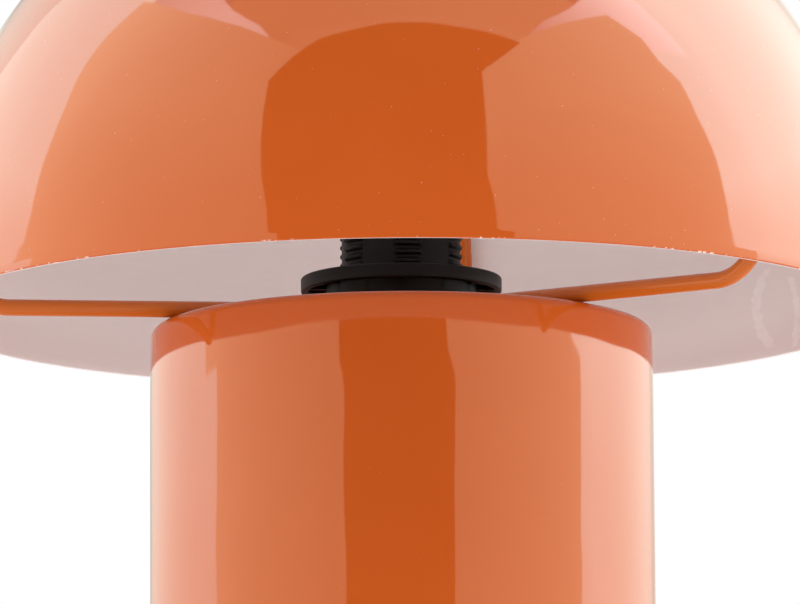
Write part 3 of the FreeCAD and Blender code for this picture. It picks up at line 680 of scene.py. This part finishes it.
# outline is (sideways, height) in mm, glow the radiance at two sideways places, tints are low down and high up,
# and rise is how many times brighter the card is high up
cards = {
    "darkGap": {
        "azimuth": 0, "distance": 0.25, "glow": ((-100, 0.05), (100, 0.05)),
        "tints": ("#FFFFFF", "#FFFFFF"), "rise": 1.0,
        "outline": [(-108, 10), (-107, 142), (-117, 150), (-127, 195), (-134, 255), (-146, 330), (-122, 366),
                    (-94, 393), (0, 408), (92, 410), (150, 408), (82, 318), (74, 190), (82, 148), (97, 140),
                    (96, 10)]},
    "leftFront": {
        "azimuth": -60, "distance": 0.45, "glow": ((-250, 2.8), (250, 1.65)),
        "tints": ("#FFF4D2", "#FFF4D2"), "rise": 1.35,
        "outline": [(-254, 10), (-251, 191), (-340, 193), (-340, 211), (-287, 214), (-276, 228), (-268, 250),
                    (-265, 303), (-264, 363), (-276, 433), (-293, 504), (-295, 580), (-290, 748), (-80, 685),
                    (42, 668), (330, 668), (330, 10)]},
    "rightFront": {
        "azimuth": 55, "distance": 0.45, "glow": ((-250, 1.75), (250, 2.95)),
        "tints": ("#FFF4D2", "#FFF4D0"), "rise": 1.47,
        "outline": [(247, 10), (258, 197), (208, 199), (199, 202), (190, 205), (181, 215), (172, 300), (160, 381),
                    (165, 459), (146, 510), (143, 582), (99, 674), (-60, 656), (-330, 640), (-330, 10)]},
    "leftTop": {
        "azimuth": -60, "distance": 0.8, "glow": ((-600, 2.2), (0, 4.7)),
        "tints": ("#FFFFFF", "#FFFFFF"), "rise": 1.0,
        "outline": [(-640, 900), (-640, 1900), (-300, 1600), (-79, 1320), (4, 1249), (117, 1205), (205, 1185),
                    (270, 1140), (330, 1085), (330, 900)]},
    "rightTop": {
        "azimuth": 55, "distance": 0.8, "glow": ((-250, 2.0), (500, 8.6)),
        "tints": ("#FFFFFF", "#FFFFFF"), "rise": 1.0,
        "outline": [(640, 900), (640, 1900), (300, 1500), (187, 1304), (70, 1220), (-20, 1186), (-90, 1175),
                    (-190, 1115), (-260, 1065), (-260, 900)]},
    "topBand": {
        "azimuth": 0, "distance": 0.8, "glow": ((-500, 1.75), (500, 2.1)),
        "tints": ("#FFF4D2", "#FFF4D2"), "rise": 1.0,
        "outline": [(-561, 1387), (-335, 1295), (-167, 1294), (-1, 1322), (144, 1335), (299, 1344), (426, 1354),
                    (552, 1366), (681, 1389), (681, 1000), (-561, 1000)]},
    "topFar": {
        "azimuth": 0, "distance": 0.82, "glow": ((-500, 1.6), (500, 1.95)),
        "tints": ("#FFF4D2", "#FFF4D2"), "rise": 1.0,
        "outline": [(-1800, 1000), (-1800, 3200), (1800, 3200), (1800, 1000)]},
    "leftSide": {
        "azimuth": -125, "distance": 0.8, "glow": ((-800, 0.42), (462, 3.75)),
        "tints": ("#F6FFF2", "#E9FFF7"), "rise": 1.42,
        "outline": [(800, 10), (800, 1900), (-900, 1900), (-900, 10)]},
    "leftBack": {
        "azimuth": -125, "distance": 0.79, "glow": ((-800, 0.3), (-100, 2.35)),
        "tints": ("#E9FFF7", "#E9FFF7"), "rise": 1.0,
        "outline": [(-900, 480), (-900, 1900), (-60, 1900), (-93, 748), (-114, 699), (-122, 659), (-128, 601),
                    (-151, 537), (-200, 500)]},
    "rightSide": {
        "azimuth": 120, "distance": 0.8, "glow": ((-363, 4.9), (660, 0.85)),
        "tints": ("#F6FFF2", "#E9FFF7"), "rise": 1.55,
        "outline": [(-800, 10), (-800, 1900), (900, 1900), (900, 10)]},
}


# A direction in the camera's own azimuths
def towards(azimuth, elevation=0.0):
    a, e, t = (math.radians(v) for v in (azimuth, elevation, studio["turn"]))
    return Matrix.Rotation(t, 3, "Z") @ Vector((math.sin(a) * math.cos(e), -math.cos(a) * math.cos(e), math.sin(e)))


def addSoftLamp(name, width, height, watts):
    light = bpy.data.lights.new(name, "AREA")
    light.shape = "RECTANGLE"
    light.size, light.size_y = width, height
    light.energy = watts
    lamp = bpy.data.objects.new(name, light)
    bpy.context.collection.objects.link(lamp)
    lamp.visible_camera = False
    lamp.visible_glossy = False
    return lamp


def makeLamps():
    for name, (azimuth, elevation, distance, width, height, watts) in lamps.items():
        lamp = addSoftLamp(name, width, height, watts)
        way = towards(azimuth, elevation)
        lamp.location = way * distance + Vector((0, 0, studio["lampHeight"]))
        lamp.rotation_mode = "QUATERNION"
        lamp.rotation_quaternion = way.to_track_quat("Z", "Y")
    # light off the floor, into the shade from below
    glow = addSoftLamp("floorGlow", studio["floorGlowSize"], studio["floorGlowSize"], studio["floorGlow"])
    glow.location = (0, 0, studio["floorGlowHeight"])
    glow.rotation_euler.x = math.pi


# Plain glow that goes from one radiance to another along the card, and up it
def makeGlow(name, along):
    card = cards[name]
    (sideA, glowA), (sideB, glowB) = card["glow"]
    material, tree = blankMaterial(name + "Glow")
    material.cycles.emission_sampling = "NONE"
    place = addNode(tree, "ShaderNodeTexCoord")
    side = addNode(tree, "ShaderNodeVectorMath", {"operation": "DOT_PRODUCT"}, {1: along}, [(0, place, "Object")])
    across = addNode(tree, "ShaderNodeMapRange", {}, {"From Min": sideA * mm, "From Max": sideB * mm,
                                                      "To Min": glowA, "To Max": glowB}, [("Value", side, "Value")])
    axes = addNode(tree, "ShaderNodeSeparateXYZ", links=[("Vector", place, "Object")])
    up = addNode(tree, "ShaderNodeMapRange", {}, {"From Min": studio["lowGlow"], "From Max": studio["highGlow"]},
                 [("Value", axes, "Z")])
    lift = addNode(tree, "ShaderNodeMath", {"operation": "MULTIPLY_ADD"}, {1: card["rise"] - 1.0, 2: 1.0},
                   [(0, up, "Result")])
    radiance = addNode(tree, "ShaderNodeMath", {"operation": "MULTIPLY"},
                       links=[(0, across, "Result"), (1, lift, "Value")])
    low, high = card["tints"]
    tint = addNode(tree, "ShaderNodeMix", {"data_type": "RGBA"}, {"A": linear(low), "B": linear(high)},
                   [("Factor", up, "Result")])
    glow = addNode(tree, "ShaderNodeEmission", links=[("Strength", radiance, "Value"), ("Color", tint, "Result")])
    addNode(tree, "ShaderNodeOutputMaterial", links=[("Surface", glow, "Emission")])
    return material


def makeCards():
    for name, card in cards.items():
        middle = towards(card["azimuth"]) * card["distance"]
        along = towards(card["azimuth"] + 90)
        corners = [middle + along * (side * mm) + Vector((0, 0, height * mm)) for side, height in card["outline"]]
        mesh = bpy.data.meshes.new(name)
        mesh.from_pydata(corners, [], [range(len(corners))])
        mesh.materials.append(makeGlow(name, along))
        obj = bpy.data.objects.new(name, mesh)
        bpy.context.collection.objects.link(obj)
        for ray in ("camera", "diffuse", "transmission", "volume_scatter", "shadow"):
            setattr(obj, "visible_" + ray, False)


# White for the camera and in gloss and glass, a dimmer fill for the light itself
def makeWorld():
    world = bpy.data.worlds.new("whiteRoom")
    bpy.context.scene.world = world
    world.use_nodes = True
    tree = world.node_tree
    tree.nodes.clear()
    path = addNode(tree, "ShaderNodeLightPath")
    seen = addNode(tree, "ShaderNodeMath", {"operation": "MAXIMUM"},
                   links=[(0, path, "Is Camera Ray"), (1, path, "Is Glossy Ray")])
    through = addNode(tree, "ShaderNodeMath", {"operation": "MAXIMUM"},
                      links=[(0, seen, "Value"), (1, path, "Is Transmission Ray")])
    dim = addNode(tree, "ShaderNodeBackground", inputs={"Color": (1, 1, 1, 1), "Strength": studio["fill"]})
    white = addNode(tree, "ShaderNodeBackground", inputs={"Color": (1, 1, 1, 1), "Strength": 1.0})
    mix = addNode(tree, "ShaderNodeMixShader", links=[(0, through, "Value"), (1, dim, "Background"),
                                                     (2, white, "Background")])
    addNode(tree, "ShaderNodeOutputWorld", links=[("Surface", mix, "Shader")])


def makeFloor():
    deselectAll()
    bpy.ops.mesh.primitive_circle_add(vertices=studio["floorSides"], radius=studio["floorRadius"], fill_type="NGON",
                                      location=(0, 0, 0))
    floor = bpy.context.object
    floor.name = "floor"
    giveFinish(floor, "paleFloorPaint")
    material = floor.data.materials[0]
    material.cycles.emission_sampling = "NONE"
    tree = material.node_tree
    # clear from below, where a camera may stand, and under the base, so that its underside has light
    side = addNode(tree, "ShaderNodeNewGeometry")
    reach = addNode(tree, "ShaderNodeVectorMath", {"operation": "LENGTH"}, links=[(0, side, "Position")])
    hole = addNode(tree, "ShaderNodeMath", {"operation": "LESS_THAN"}, {1: studio["floorHole"]},
                   [(0, reach, "Value")])
    gone = addNode(tree, "ShaderNodeMath", {"operation": "MAXIMUM"},
                   links=[(0, side, "Backfacing"), (1, hole, "Value")])
    clear = addNode(tree, "ShaderNodeBsdfTransparent")
    # away from the lamp the camera sees the floor run out into white
    path = addNode(tree, "ShaderNodeLightPath")
    away = addNode(tree, "ShaderNodeMapRange", {"interpolation_type": "SMOOTHSTEP"},
                   {"From Min": studio["floorNear"], "From Max": studio["floorFar"]}, [("Value", reach, "Value")])
    seen = addNode(tree, "ShaderNodeMath", {"operation": "MULTIPLY"},
                   links=[(0, away, "Result"), (1, path, "Is Camera Ray")])
    white = addNode(tree, "ShaderNodeEmission", inputs={"Color": (1, 1, 1, 1)})
    paint = tree.nodes["Principled BSDF"]
    faded = addNode(tree, "ShaderNodeMixShader",
                    links=[(0, seen, "Value"), (1, paint, "BSDF"), (2, white, "Emission")])
    oneSided = addNode(tree, "ShaderNodeMixShader",
                       links=[(0, gone, "Value"), (1, faded, "Shader"), (2, clear, "BSDF")])
    tree.links.new(oneSided.outputs["Shader"], tree.nodes["Material Output"].inputs["Surface"])


makeLamps()
makeCards()
makeWorld()
makeFloor()
print("studio made")


# Camera: low, looking up under the shade
camera = {"distance": 1.7, "lens": 347.04, "sensor": 36, "pitch": 9.15, "roll": -0.33, "across": -0.3 * mm,
          "height": 132.15 * mm}


def makeCamera():
    pitch, roll, turn = (math.radians(v) for v in (camera["pitch"], camera["roll"], studio["turn"]))
    forward = Vector((0, math.cos(pitch), math.sin(pitch)))
    level = Vector((1, 0, 0))
    upright = Vector((0, -math.sin(pitch), math.cos(pitch)))
    right = math.cos(roll) * level + math.sin(roll) * upright
    up = math.cos(roll) * upright - math.sin(roll) * level
    place = Vector((camera["across"], 0, camera["height"])) - forward * camera["distance"]
    pose = Matrix((right, up, -forward)).transposed().to_4x4()
    pose.translation = place
    data = bpy.data.cameras.new("camera")
    data.lens = camera["lens"]
    data.sensor_width = camera["sensor"]
    obj = bpy.data.objects.new("camera", data)
    bpy.context.collection.objects.link(obj)
    obj.matrix_world = Matrix.Rotation(turn, 4, "Z") @ pose
    bpy.context.scene.camera = obj


makeCamera()
bpy.context.scene.view_settings.view_transform = "Standard"
print("camera made")
